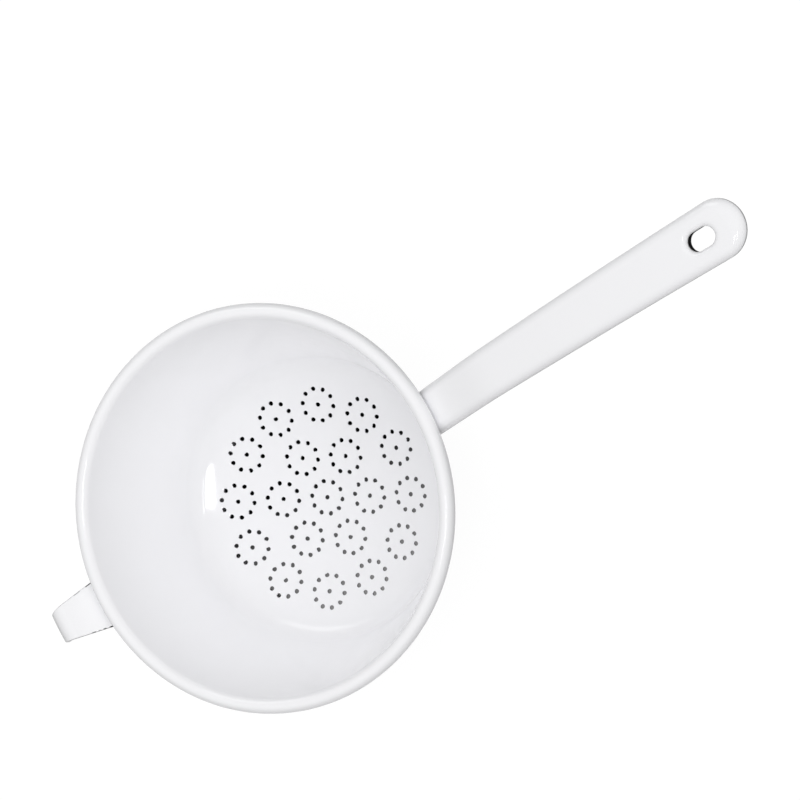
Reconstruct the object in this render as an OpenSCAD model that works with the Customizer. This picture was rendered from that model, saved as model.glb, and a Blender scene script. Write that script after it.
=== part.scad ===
// Enamelled sheet-steel strainer with a hollow handle and a pot hook.
// Origin: middle of the face that the foot ring stands on. +X points along
// the handle, +Z out of the open bowl. All sizes are millimetres.

/* [Bowl] */
// Outer diameter of the bowl over its rolled rim
rim_d = 200; // [170:1:240]
// Inside depth, from the top of the rim to the middle of the floor
bowl_depth = 86; // [70:1:110]
// Thickness of the enamelled sheet
sheet_t = 1.2; // [0.8:0.1:1.6]
// Diameter of the rolled rim's section
bead_d = 7.8; // [6:0.2:10]
// How far the wall leans out from upright, in degrees
wall_draft = 17.4; // [12:0.2:21]
// Inside radius of the dished floor
dish_r = 239; // [200:1:400]
// Inside radius between the floor and the wall
corner_r = 12; // [8:1:18]

/* [Drain holes] */
// Diameter of one drain hole
hole_d = 2.1; // [1.5:0.1:3]
// Holes on the circle of one rosette
rosette_holes = 10; // [6:1:12]
// Diameter of the circle of holes in a rosette
rosette_d = 16.4; // [12:0.2:17]
// Distance from the middle of the floor to the six inner rosettes, and from those to the outer twelve
rosette_step = 23.4; // [20:0.2:25]
// Turn of the rosettes about the bowl, in degrees from the handle
pattern_turn = 4.1; // [0:0.1:30]
// Turn of the holes within each rosette, in degrees from the handle
hole_turn = 2; // [0:1:36]

/* [Foot ring] */
// Distance from the edge of the dished floor in to the foot ring's wall
foot_set_in = 3.5; // [1.5:0.5:4.5]
// Gap between the middle of the floor's underside and the table
foot_gap = 5; // [4:0.5:12]
// Width of the flange that is welded under the floor
foot_flange = 5; // [3:0.5:6]
// Height of the folded hem at the foot's lower edge
foot_hem_h = 4; // [3:0.5:5]
// Number of drain holes in the foot's wall
foot_holes = 4; // [3:1:8]
// Diameter of one drain hole in the foot's wall
foot_hole_d = 5; // [3:0.5:6]

/* [Handle] */
// Reach of the handle beyond the rim's outer edge
handle_reach = 192.6; // [150:0.2:240]
// Width of the handle beside the bowl
handle_root_w = 23.2; // [20:0.2:30]
// Width of the handle at its round end
handle_tip_w = 29.2; // [25:0.2:36]
// Thickness of the hollow handle beside the bowl
handle_root_t = 8.4; // [7.4:0.2:12]
// Thickness of the hollow handle at its round end
handle_tip_t = 7; // [6.6:0.2:10]
// Rise of the handle where it leaves the bowl, in degrees
neck_rise = 22; // [16:1:28]
// Rise of the handle where the grip starts, in degrees
grip_rise = 13; // [9:1:15]
// Rise of the handle at its end, in degrees
tip_rise = 5; // [0:1:7]
// Straight length of the neck beyond the rim
neck_run = 28; // [15:1:50]
// Radius of the bend between neck and grip
neck_bend_r = 90; // [50:5:150]
// Width of the rounding along the handle's long edges
edge_round = 5; // [3:0.5:7]
// Width of the rounding at the handle's end
nose_round = 9; // [5:0.5:11]

/* [Hanging slot] */
// Length of the slot along the handle
slot_l = 14.6; // [12:0.2:22]
// Width of the slot
slot_w = 9.5; // [6:0.5:11]
// Distance from the handle's end to the nearer end of the slot
slot_from_end = 16; // [13:0.5:30]
// Outer radius of the slot's turned-in edge
slot_lip_r = 2; // [1.7:0.1:2.2]
// Depth of the turned-in edge
slot_lip_h = 2.6; // [2.3:0.1:3.2]
// Gap all round between the slots of the lower and the upper half
slot_clear = 0.3; // [0:0.1:1]

/* [Pot hook] */
// Thickness of the hook's strap
hook_t = 2; // [1.5:0.1:2.6]
// Width of the strap beside the bowl
hook_root_w = 25.5; // [20:0.5:30]
// Width of the strap at its outer bend
hook_end_w = 15.2; // [10:0.2:18]
// Rise of the strap from the bowl to its outer bend, in degrees
hook_rise = 22; // [0:1:25]
// Reach of the hook beyond the rim's outer edge
hook_reach = 27.5; // [22:0.5:40]
// Outer radius of the hook's bend
hook_bend_r = 8; // [6:0.5:12]
// Straight length of the hook's leg below the bend
hook_leg = 8; // [6:0.5:20]
// Height of the tab that is welded to the wall
hook_tab_h = 15; // [11:0.5:24]
// Inside radius of the bend between tab and strap
hook_root_r = 2; // [1:0.5:4]
// Radius of the tab's lower corners
hook_corner_r = 3.5; // [2:0.5:4]

/* [Fits] */
// Gap between the rim's underside and the handle or the hook
under_rim_gap = 0.4; // [0.2:0.1:1]
// Opening between the end of the rolled rim and the wall
curl_gap = 0.9; // [0.6:0.1:1.4]

/* [Hidden] */
$fn = 96;
fine = 360;
// Makes an arc cross the straight faces that it runs into instead of only touching them
corner_lap = 0.001;
// Degrees by which the hook's bends reach into its straight stretches
bend_lap = 2;
white = [0.93, 0.93, 0.94];

// Radii and heights of the bowl
floor_z = foot_gap + sheet_t;
bead_r = bead_d / 2;
bead_c = [rim_d / 2 - bead_r, floor_z + bowl_depth - bead_r];
dish_c = [0, floor_z + dish_r];

// The wall's inner face touches the rolled rim at wall_top. The corner's centre
// lies corner_r from that face, and dish_r - corner_r from the dish's centre.
wall_down = [-sin(wall_draft), -cos(wall_draft)];
wall_in = [-cos(wall_draft), sin(wall_draft)];
wall_top = bead_c + bead_r * wall_in;
start = wall_top + corner_r * wall_in - dish_c;
reach_b = start * wall_down;
wall_run = sqrt(reach_b * reach_b - start * start + pow(dish_r - corner_r, 2)) - reach_b;
wall_foot = wall_top + wall_run * wall_down;
corner_c = wall_foot + corner_r * wall_in;
corner_dir = (corner_c - dish_c) / norm(corner_c - dish_c);

// Radius at height z of the wall's face that lies out from its inner face
function wall_r(z, out) = wall_top.x + out / cos(wall_draft) + (z - wall_top.y) * tan(wall_draft);
function wall_out_r(z) = wall_r(z, sheet_t);
// Height of the floor's underside at radius r
dish_out_r = dish_r + sheet_t;
function under_floor_z(r) = dish_c.y - sqrt(dish_out_r * dish_out_r - r * r);
// Radius at which the floor's underside turns into the corner
floor_edge_r = dish_out_r * corner_dir.x;

// A flat ring of thickness t round a circle of radius r
module ring(r, t) {
    difference() {
        circle(r + t, $fn = fine);
        circle(r, $fn = fine);
    }
}

// The wedge between two directions that lie less than half a turn apart
module wedge(from, to, reach) {
    polygon([[0, 0], reach * from, reach * (from + to), reach * to]);
}

module ring_arc(r, t, from, to) {
    intersection() {
        ring(r, t);
        wedge(from, to, 2 * (r + t));
    }
}

// Half section of the space inside the bowl up to the height top, larger by grow below and outside
module hollow(grow, top) {
    difference() {
        intersection() {
            translate(dish_c) circle(dish_r + grow, $fn = fine);
            polygon([[0, 0], [wall_r(0, grow), 0], [wall_r(top, grow), top], [0, top]]);
        }
        translate(corner_c) wedge(corner_dir, -wall_in, 4 * corner_r);
    }
    translate(corner_c) circle(corner_r + grow + corner_lap, $fn = fine);
}

// The rolled rim ends where its outer face comes within curl_gap of the wall's outer face
curl_end = 180 - wall_draft + acos((bead_r - sheet_t - curl_gap) / bead_r);

module bowl_section() {
    difference() {
        hollow(sheet_t, wall_top.y);
        hollow(0, wall_top.y + sheet_t);
    }
    translate(bead_c) difference() {
        ring(bead_r - sheet_t, sheet_t);
        wedge(wall_in, [cos(curl_end), sin(curl_end)], bead_d);
    }
}

// Rosettes: one in the middle, six round it and twelve outside
function circle_points(count, radius, first) = [
    for (i = [0 : count - 1]) radius * [cos(first + i * 360 / count), sin(first + i * 360 / count)]
];
rosettes = concat(
    [[0, 0]],
    circle_points(6, rosette_step, pattern_turn + 30),
    circle_points(12, 2 * rosette_step, pattern_turn)
);
rosette = concat([[0, 0]], circle_points(rosette_holes, rosette_d / 2, hole_turn));

module drain_holes() {
    top = under_floor_z(2 * rosette_step + rosette_d / 2 + hole_d) + 2 * sheet_t;
    for (place = rosettes, hole = rosette)
        translate([place.x + hole.x, place.y + hole.y, foot_gap / 2])
            cylinder(d = hole_d, h = top - foot_gap / 2, $fn = 24);
}

module bowl() {
    color(white) difference() {
        rotate_extrude() bowl_section();
        drain_holes();
    }
}

// The foot is a pressed ring: a flange that lies against the floor, a wall and a folded hem
foot_r = floor_edge_r - foot_set_in;

module foot_section() {
    difference() {
        union() {
            translate([foot_r - sheet_t, 0]) square([sheet_t, corner_c.y]);
            translate([foot_r - 2 * sheet_t, 0]) square([2 * sheet_t, foot_hem_h]);
            intersection() {
                hollow(2 * sheet_t, corner_c.y);
                translate([foot_r - sheet_t, 0]) square([foot_flange + sheet_t, corner_c.y]);
            }
        }
        hollow(sheet_t, bead_c.y);
    }
}

module foot_ring() {
    hole_z = (foot_hem_h + under_floor_z(foot_r - sheet_t)) / 2;
    color(white) difference() {
        rotate_extrude() foot_section();
        for (i = [0 : foot_holes - 1])
            rotate([0, 0, (i + 0.5) * 360 / foot_holes])
                translate([foot_r - 3 * sheet_t, 0, hole_z])
                    rotate([0, 90, 0]) cylinder(d = foot_hole_d, h = 4 * sheet_t);
    }
}

// The handle's middle line: a straight neck that clears the rim, a bend, and a gently curved grip
tip_x = rim_d / 2 + handle_reach;
nose_x = tip_x - handle_tip_w / 2;
root_drop = bead_r + under_rim_gap + handle_root_t / 2;
root_x = bead_c.x + root_drop * sin(neck_rise);
root_z = bead_c.y - root_drop * cos(neck_rise);
neck_x = rim_d / 2 + neck_run;
neck_z = root_z + (neck_x - root_x) * tan(neck_rise);
grip_x = neck_x + neck_bend_r * (sin(neck_rise) - sin(grip_rise));
grip_z = neck_z + neck_bend_r * (cos(grip_rise) - cos(neck_rise));
grip_bend_r = (tip_x - grip_x) / (sin(grip_rise) - sin(tip_rise));

function spine_rise(x) =
    x < neck_x ? neck_rise :
    x < grip_x ? asin(sin(neck_rise) - (x - neck_x) / neck_bend_r) :
    asin(sin(grip_rise) - (x - grip_x) / grip_bend_r);
function spine_z(x) =
    x < neck_x ? neck_z + (x - neck_x) * tan(neck_rise) :
    x < grip_x ? neck_z + neck_bend_r * (cos(spine_rise(x)) - cos(neck_rise)) :
    grip_z + grip_bend_r * (cos(spine_rise(x)) - cos(grip_rise));
// The point that lies n square above the middle line at x
function off_spine(x, y, n) = [x - n * sin(spine_rise(x)), y, spine_z(x) + n * cos(spine_rise(x))];

// Half of the handle's thickness at x
function half_t(x) =
    let (along = min(max((x - root_x) / (nose_x - root_x), 0), 1))
    (handle_root_t + (handle_tip_t - handle_root_t) * along) / 2;

// The handle's outline in plan on one side: a straight run that starts inside the bowl's
// wall, then the round nose. Each station is [x, y, outward normal x, outward normal y].
straight_stations = 24;
nose_stations = 9;
stations = straight_stations + nose_stations;
nose_r = handle_tip_w / 2;
side_lean = asin((handle_tip_w - handle_root_w) / 2 / (nose_x - root_x));
side_start_x = wall_out_r(root_z) - 1.5 * handle_root_t;
side_end = [nose_x - nose_r * sin(side_lean), nose_r * cos(side_lean)];

function station(j) =
    j < straight_stations ?
        let (x = side_start_x + (side_end.x - side_start_x) * j / straight_stations)
        [x, side_end.y - (side_end.x - x) * tan(side_lean), -sin(side_lean), cos(side_lean)] :
        let (a = (90 + side_lean) * (1 - (j - straight_stations) / nose_stations))
        [nose_x + nose_r * cos(a), nose_r * sin(a), cos(a), sin(a)];

// One row of points at station j, from the seam on one side over the face to the seam on the
// other side. depth is how far the row lies inside the outer face.
round_steps = 5;
face_steps = 2;
row_end = 2 * round_steps + face_steps;

function row(j, depth, side) =
    let (
        p = station(j),
        ahead = max(p[2], 0),
        round_w = edge_round + (nose_round - edge_round) * ahead * ahead - depth,
        height = half_t(p[0]) - depth
    )
    [for (k = [0 : row_end])
        let (
            step = min(k, row_end - k),
            a = 90 * min(step, round_steps) / round_steps,
            inset = depth + round_w * (1 - cos(a)),
            across = step <= round_steps ? 1 : 1 - 2 * (step - round_steps) / face_steps,
            hand = 2 * k > row_end ? -1 : 1
        )
        off_spine(p[0] - inset * p[2], hand * across * (p[1] - inset * p[3]), side * height * sin(a))
    ];

// Both skins of one half, the outer one first. The two sides meet in the nose's last station.
function skin(depth, side) = [
    for (j = [0 : stations])
        let (points = row(j, depth, side))
        for (k = [0 : j < stations ? row_end : round_steps]) points[k]
];
skin_points = stations * (row_end + 1) + round_steps + 1;
function outer_at(j, k) =
    j * (row_end + 1) + (j < stations ? k : min(k, row_end - k, round_steps));
function inner_at(j, k) = skin_points + outer_at(j, k);

// Two triangles for one square of the mesh, without any that has no area
function two_faces(a, b, c, d) = [
    for (f = [[a, b, c], [a, c, d]]) if (f[0] != f[1] && f[1] != f[2] && f[2] != f[0]) f
];
function turned(faces) = [for (f = faces) [f[2], f[1], f[0]]];

// The faces of the lower half. The upper half is its mirror image, so its faces are turned.
shell_faces = concat(
    [for (j = [0 : stations - 1], k = [0 : row_end - 1])
        each two_faces(outer_at(j, k), outer_at(j, k + 1), outer_at(j + 1, k + 1), outer_at(j + 1, k))],
    [for (j = [0 : stations - 1], k = [0 : row_end - 1])
        each two_faces(inner_at(j + 1, k), inner_at(j + 1, k + 1), inner_at(j, k + 1), inner_at(j, k))],
    [for (j = [0 : stations - 1])
        each two_faces(outer_at(j, 0), outer_at(j + 1, 0), inner_at(j + 1, 0), inner_at(j, 0))],
    [for (j = [0 : stations - 1])
        each turned(two_faces(
            outer_at(j, row_end), outer_at(j + 1, row_end), inner_at(j + 1, row_end), inner_at(j, row_end)
        ))],
    [for (k = [0 : row_end - 1])
        each two_faces(inner_at(0, k), inner_at(0, k + 1), outer_at(0, k + 1), outer_at(0, k))]
);

// One pressed half of the handle before it is cut. side is 1 for the upper and -1 for the lower half.
module half_shell(side) {
    polyhedron(concat(skin(0, side), skin(sheet_t, side)), side < 0 ? shell_faces : turned(shell_faces));
}

// All that lies inside the bowl's outer wall face, to which handle and hook are cut
module inside_wall() {
    low = floor_z;
    high = bead_c.y + bead_r;
    rotate_extrude() polygon([[0, low], [wall_out_r(low), low], [wall_out_r(high), high], [0, high]]);
}

slot_x = tip_x - slot_from_end - slot_l / 2;
slot_straight = slot_l - slot_w;
slot_half_t = half_t(slot_x);

// Places something on the handle's middle line at the slot, square to the handle there
module at_slot() {
    translate([slot_x, 0, spine_z(slot_x)]) rotate([0, -spine_rise(slot_x), 0]) children();
}

// An upright block with the slot's outline, larger by extra all round
module slot_block(extra, low, high) {
    translate([-slot_straight / 2, -slot_w / 2 - extra, low])
        cube([slot_straight, slot_w + 2 * extra, high - low]);
    for (end = [-1, 1])
        translate([end * slot_straight / 2, 0, low]) cylinder(d = slot_w + 2 * extra, h = high - low);
}

// Something swept once round the slot, from its half section
module round_slot() {
    for (turn = [0, 180]) rotate([0, 0, turn]) translate([slot_straight / 2, 0, 0]) {
        rotate([0, 0, -90]) rotate_extrude(angle = 180) children();
        rotate([90, 0, -90]) linear_extrude(slot_straight) children();
    }
}

// The sheet is turned into the slot. The lip is set in as a collar that starts inside the sheet
// and narrows to one sheet below the bend, and its upper edge is rounded.
module slot_rounding() {
    difference() {
        translate([slot_w / 2 - slot_lip_r, -slot_lip_r]) square(2 * slot_lip_r);
        translate([slot_w / 2 + slot_lip_r, -slot_lip_r]) circle(slot_lip_r);
    }
}

module handle_upper_shell() {
    color(white) difference() {
        union() {
            half_shell(1);
            at_slot() {
                slot_block(slot_lip_r, slot_half_t - slot_lip_r, slot_half_t - sheet_t / 2);
                slot_block(sheet_t, slot_half_t - slot_lip_h, slot_half_t - sheet_t);
            }
        }
        inside_wall();
        at_slot() slot_block(0, -slot_half_t, 2 * slot_half_t);
        at_slot() translate([0, 0, slot_half_t]) round_slot() slot_rounding();
    }
}

module handle_lower_shell() {
    color(white) difference() {
        half_shell(-1);
        inside_wall();
        at_slot() slot_block(slot_clear, -2 * slot_half_t, slot_half_t);
    }
}

// The hook is one strap, pressed to the bowl's roundness: a tab that follows the wall, a run that
// clears the rim and rises outward, a bend and a leg. strap_near is the point of the run's upper
// face that lies nearest to the rolled rim.
strap_out = [cos(hook_rise), sin(hook_rise)];
strap_up = [-sin(hook_rise), cos(hook_rise)];
strap_near = bead_c - (bead_r + under_rim_gap) * strap_up;
root_bend_r = hook_root_r + hook_t;
root_near = strap_near - root_bend_r * strap_up;
wall_gap = (wall_top - sheet_t * wall_in - root_near) * wall_in;
root_bend_c = root_near + (wall_gap - root_bend_r) / (strap_out * wall_in) * strap_out;
tab_top = root_bend_c + root_bend_r * wall_in;
tab_end = tab_top + hook_tab_h * wall_down;
tab_low = tab_end.y - hook_t * wall_in.y;
hook_out_x = rim_d / 2 + hook_reach;
end_bend_x = hook_out_x - hook_bend_r;
end_bend_c = [
    end_bend_x,
    strap_near.y + (end_bend_x - strap_near.x) * tan(hook_rise) - hook_bend_r / cos(hook_rise)
];
hook_low_z = end_bend_c.y - hook_leg;
hook_top_z = end_bend_c.y + hook_bend_r;
leg_w = hook_end_w + (hook_root_w - hook_end_w) * hook_t / hook_reach;

// A bend of the strap between two directions, in degrees. It reaches a little into the straight
// stretches and past their faces, so that it crosses them instead of only touching.
module strap_bend(inner_r, from, to) {
    first = from + bend_lap;
    last = to - bend_lap;
    ring_arc(
        inner_r - corner_lap, hook_t + 2 * corner_lap, [cos(first), sin(first)], [cos(last), sin(last)]
    );
}

module hook_section() {
    run_start = root_bend_c + root_bend_r * strap_up;
    run_end = end_bend_c + hook_bend_r * strap_up;
    polygon([tab_top, tab_end, tab_end - hook_t * wall_in, tab_top - hook_t * wall_in]);
    translate(root_bend_c) strap_bend(hook_root_r, 180 - wall_draft, 90 + hook_rise);
    polygon([run_start, run_start - hook_t * strap_up, run_end - hook_t * strap_up, run_end]);
    translate(end_bend_c) strap_bend(hook_bend_r - hook_t, 90 + hook_rise, 0);
    translate([hook_out_x - hook_t, hook_low_z]) square([hook_t, hook_leg]);
}

// The strap's outline from above: it narrows from the rim to the outer bend
module hook_plan() {
    inner = rim_d / 4;
    polygon([
        [inner, -hook_root_w / 2], [rim_d / 2, -hook_root_w / 2], [hook_out_x, -hook_end_w / 2],
        [hook_out_x, hook_end_w / 2], [rim_d / 2, hook_root_w / 2], [inner, hook_root_w / 2]
    ]);
}

// A block that holds the tab and the run: its two lower corners are those of the tab
module tab_block() {
    r = hook_corner_r;
    start = rim_d / 4;
    length = end_bend_x - start;
    for (side = [-1, 1])
        translate([start, side * (hook_root_w / 2 - r), tab_low + r])
            rotate([0, 90, 0]) cylinder(r = r, h = length);
    translate([start, r - hook_root_w / 2, tab_low]) cube([length, hook_root_w - 2 * r, hook_top_z - tab_low]);
    translate([start, -hook_root_w / 2, tab_low + r]) cube([length, hook_root_w, hook_top_z - tab_low - r]);
}

// A block that holds the outer bend and the leg, whose end is round
module leg_block() {
    translate([end_bend_x - hook_t, 0, hook_low_z + leg_w / 2]) {
        rotate([0, 90, 0]) cylinder(d = leg_w, h = hook_bend_r + hook_t);
        translate([0, -hook_root_w / 2, 0]) cube([hook_bend_r + hook_t, hook_root_w, hook_top_z - hook_low_z]);
    }
}

module pot_hook() {
    low = min(tab_low, hook_low_z);
    color(white) mirror([1, 0, 0]) intersection() {
        rotate_extrude() hook_section();
        translate([0, 0, low]) linear_extrude(hook_top_z - low) hook_plan();
        union() {
            tab_block();
            leg_block();
        }
    }
}

bowl();
foot_ring();
handle_upper_shell();
handle_lower_shell();
pot_hook();
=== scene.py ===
"""The looks of a white enamelled strainer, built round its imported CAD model.

Sizes are millimetres until a mesh is made, and metres in Blender. Angles are degrees unless a
comment says otherwise. +X runs along the handle, +Z out of the open bowl, and the foot ring
stands on z = 0.
"""
import math
import random

import bmesh
import bpy
import numpy as np
from mathutils import Matrix, Vector
from mathutils.geometry import delaunay_2d_cdt


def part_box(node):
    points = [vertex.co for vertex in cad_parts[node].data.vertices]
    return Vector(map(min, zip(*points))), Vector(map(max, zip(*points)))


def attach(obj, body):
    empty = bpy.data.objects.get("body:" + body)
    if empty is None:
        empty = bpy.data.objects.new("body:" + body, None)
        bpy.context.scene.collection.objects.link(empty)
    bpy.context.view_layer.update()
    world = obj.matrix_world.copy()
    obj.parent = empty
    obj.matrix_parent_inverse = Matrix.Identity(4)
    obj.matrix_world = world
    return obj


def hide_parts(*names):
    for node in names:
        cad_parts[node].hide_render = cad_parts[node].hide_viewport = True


MM = 0.001
BODY = "root"

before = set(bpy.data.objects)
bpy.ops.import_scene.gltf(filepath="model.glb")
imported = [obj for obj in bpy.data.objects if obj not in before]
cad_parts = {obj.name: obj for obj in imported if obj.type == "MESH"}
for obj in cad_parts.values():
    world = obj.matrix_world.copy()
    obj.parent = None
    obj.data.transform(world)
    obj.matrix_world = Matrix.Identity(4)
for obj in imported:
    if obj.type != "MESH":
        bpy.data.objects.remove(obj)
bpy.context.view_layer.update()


def box_mm(node):
    """Lowest and highest corner of a CAD node in millimetres."""
    low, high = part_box(node)
    return np.array(low) / MM, np.array(high) / MM


# Sizes taken from the frame
rim_r = box_mm("bowl")[1][1]
rim_top = box_mm("bowl")[1][2]
flange_r = box_mm("foot_ring")[1][1]
tip_x = box_mm("handle_upper_shell")[1][0]
hook_out = -box_mm("pot_hook")[0][0]

# Sheet and bowl
sheet_t = 1.2
bowl_depth = 86.0
bead_r = 3.9
wall_draft = 17.4
dish_r = 239.0
corner_r = 12.0
curl_gap = 0.9
# Points in each ring of the bowl and the foot ring
round_count = 288
# Heights over which the inner wall's dullness fades out, at its foot and below the rim
dull_foot = 8
dull_top = 4

# Drain holes
hole_r = 1.05
rosette_holes = 10
rosette_r = 8.2
rosette_step = 23.4
pattern_turn = 4.1
hole_turn = 2.0
# Points round a hole, the radii of its rounded edges above and below, and the flat border round it
hole_count = 18
hole_edge = 0.4
hole_under_edge = 0.25
hole_border = 0.35
# Uneven edges: waves round the hole, each with its size as a share of the radius
hole_seed = 4
hole_waves = ((1, 0.06), (2, 0.06), (3, 0.05))
wave_least = 0.2
# Drips of enamel into some holes: the share of holes, the side and its spread, the least and the
# most that they reach in as shares of the radius, and their half width in radians
drip_share = 0.6
drip_side = 148
drip_spread = 50
drip_least = 0.12
drip_reach = 0.4
drip_width = 0.45
# The floor's other points: spacing, shares of it between rows and beyond the holes' borders, and
# how far inside the floor's edge they stay
floor_grid = 3.0
floor_row = 0.866
floor_hole_clear = 0.35
floor_edge_clear = 1

# Foot ring
foot_flange = 5.0
foot_r = flange_r - foot_flange
foot_hem = 4.0
foot_bend = 1.0
foot_soft = 0.3
foot_holes = 4
foot_hole_r = 2.5

# Handle
handle_root_w = 23.2
handle_tip_w = 29.2
handle_root_t = 8.4
handle_tip_t = 7.0
neck_rise = 22.0
grip_rise = 13.0
tip_rise = 5.0
neck_run = 28.0
neck_bend_r = 90.0
edge_round = 5.0
nose_round = 9.0
under_rim_gap = 0.4
weld_depth = 0.6
# The groove along the seam: its rows of points, as distance in from the outline and height in
# shares of half the thickness, and how dark the first rows beside the seam are: thin white there,
# darkened further as painted shade for the dark outline of the handle's edge
seam_groove = 0.3
seam_rows = [(seam_groove, 0.0), (seam_groove * 0.25, seam_groove * 0.06), (0.02, 0.09)]
seam_darkness = [0.65, 0.65, 0.65, 0.35]
# Points along each side, round half of the nose and across the root
side_count = 90
nose_count = 29
root_count = 13
# The search for the root on the bowl's wall: rounds for a point, the share of its distance that
# each one makes up, and rounds for a band's points, whose place aside changes with the root
root_rounds = 30
root_pull = 0.9
band_rounds = 3
# The flat faces' points: the first row inside the border, the spacing along the handle, the count
# across it, the share of the width that they fill, and how far they stay from other points, from
# the root, and from the slot's end and side
face_border = 0.25
face_step = 2.2
face_across = 9
face_share = 0.9
face_clear = 0.8
face_root_clear = 1.5
face_slot_clear = (1.5, 1.2)

# Hanging slot
slot_l = 14.6
slot_w = 9.5
slot_from_end = 16.0
slot_edge = 3.0
slot_border = 0.5
slot_lip_h = 2.6
slot_lip_end = 0.5
slot_clear = 0.3
slot_low_edge = 0.35
# Points round each end, and where the points on each straight side are
slot_end_count = 22
slot_side_shares = (0.25, 0.5, 0.75)

# Pot hook
hook_t = 2.0
hook_root_w = 25.5
hook_end_w = 15.2
hook_rise = 22.0
hook_bend_r = 8.0
hook_leg = 8.0
hook_tab_h = 15.0
hook_root_r = 2.0
hook_corner_r = 3.5
# The rounded edges: points round each, and their radius in shares of half the strap's thickness
hook_edge_count = 6
hook_edge_share = 0.8
# Steps across the strap's faces and through its thickness
hook_across = 16
hook_through = 2
# Points along the strap: how many round its corners and its round end, the first one's distance
# from the end, the least between two, and how far on each side its direction is taken
hook_corner_count = 9
hook_end_count = 16
hook_first = 0.02
hook_least = 0.015
hook_reach = 0.3

# Thin white along the strap's edges, darkened further as painted shade for their dark outline:
# how far in the dark reaches, over what it fades, and how dark it is
dark_edge_width = 0.35
dark_edge_fade = 0.25
dark_edge_level = 0.6
# Painted shade on the outer bend, where the strap turns down and faces away from the light: how
# dark, at what direction, and its spread
bend_painted_shade = 0.5
bend_shade_turn = -58
bend_shade_spread = 26
# Chips in the edges beside the rim, which also paint the shade where the strap meets the rim:
# distance from the rim, half length, how dark
upper_chips_and_shade = ((1.5, 3.5, 1.0), (9.5, 2.0, 0.7))
lower_chips_and_shade = ((1.0, 2.6, 1.0), (5.4, 1.0, 0.9), (7.8, 0.7, 0.8), (10.5, 1.2, 0.8))
# How much further in they reach than the dark edge, and over what their ends fade
chip_reach = 0.42
chip_fade = 0.5

# Heights and centres worked out from the sizes above
floor_z = rim_top - bowl_depth
bead_c = np.array([rim_r - bead_r, rim_top - bead_r])
dish_c = np.array([0.0, floor_z + dish_r])
draft = math.radians(wall_draft)
wall_down = np.array([-math.sin(draft), -math.cos(draft)])
wall_in = np.array([-math.cos(draft), math.sin(draft)])
wall_top = bead_c + bead_r * wall_in
to_dish = wall_top + corner_r * wall_in - dish_c
along = float(to_dish @ wall_down)
wall_run = math.sqrt(along ** 2 - to_dish @ to_dish + (dish_r - corner_r) ** 2) - along
wall_foot = wall_top + wall_run * wall_down
corner_c = wall_foot + corner_r * wall_in
corner_dir = (corner_c - dish_c) / np.linalg.norm(corner_c - dish_c)
floor_edge_r = dish_r * corner_dir[0]
under_edge_r = (dish_r + sheet_t) * corner_dir[0]


def clamp(value):
    """The value, held between 0 and 1."""
    return min(max(value, 0), 1)


def dish_z(r, radius=dish_r):
    """Height of the dished floor at radius r. The underside has a larger sphere radius."""
    return dish_c[1] - math.sqrt(radius ** 2 - r ** 2)


def under_z(r, gap):
    """Height at radius r of a face that lies gap below the bowl's underside."""
    if r < under_edge_r:
        return dish_z(r, dish_r + sheet_t + gap)
    return corner_c[1] - math.sqrt((corner_r + sheet_t + gap) ** 2 - (r - corner_c[0]) ** 2)


def wall_out_r(z):
    """Radius of the bowl wall's outer face at height z."""
    return wall_top[0] + sheet_t / math.cos(draft) + (z - wall_top[1]) * math.tan(draft)


def arc(centre, radius, start, end, steps):
    """Points of an arc in a section, from one angle to the other."""
    turns = np.radians(np.linspace(start, end, steps + 1))
    return [centre + radius * np.array([math.cos(t), math.sin(t)]) for t in turns]


def line(start, end, steps):
    """Points between two others, without the two ends."""
    return [start + (end - start) * i / steps for i in range(1, steps)]


def circle_points(count, radius, first):
    """Points on a circle round the origin, with the first one's angle."""
    turns = np.radians(first + np.arange(count) * 360.0 / count)
    return [np.array([radius * math.cos(t), radius * math.sin(t)]) for t in turns]


def revolve(profile):
    """The points of a section turned round the bowl's axis, one ring for each."""
    turns = np.radians(np.arange(round_count) * 360.0 / round_count)
    return [(p[0] * math.cos(t), p[0] * math.sin(t), p[1]) for p in profile for t in turns]


def ring_faces(rings, count, closed=True):
    """Quads between neighbouring rings of count points each."""
    faces = []
    for j in range(rings - 1):
        for i in range(count if closed else count - 1):
            n = (i + 1) % count
            faces.append((j * count + i, j * count + n, (j + 1) * count + n, (j + 1) * count + i))
    return faces


def put(name, data):
    """A new object in the scene with this mesh, camera or light."""
    obj = bpy.data.objects.new(name, data)
    bpy.context.scene.collection.objects.link(obj)
    return obj


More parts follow.
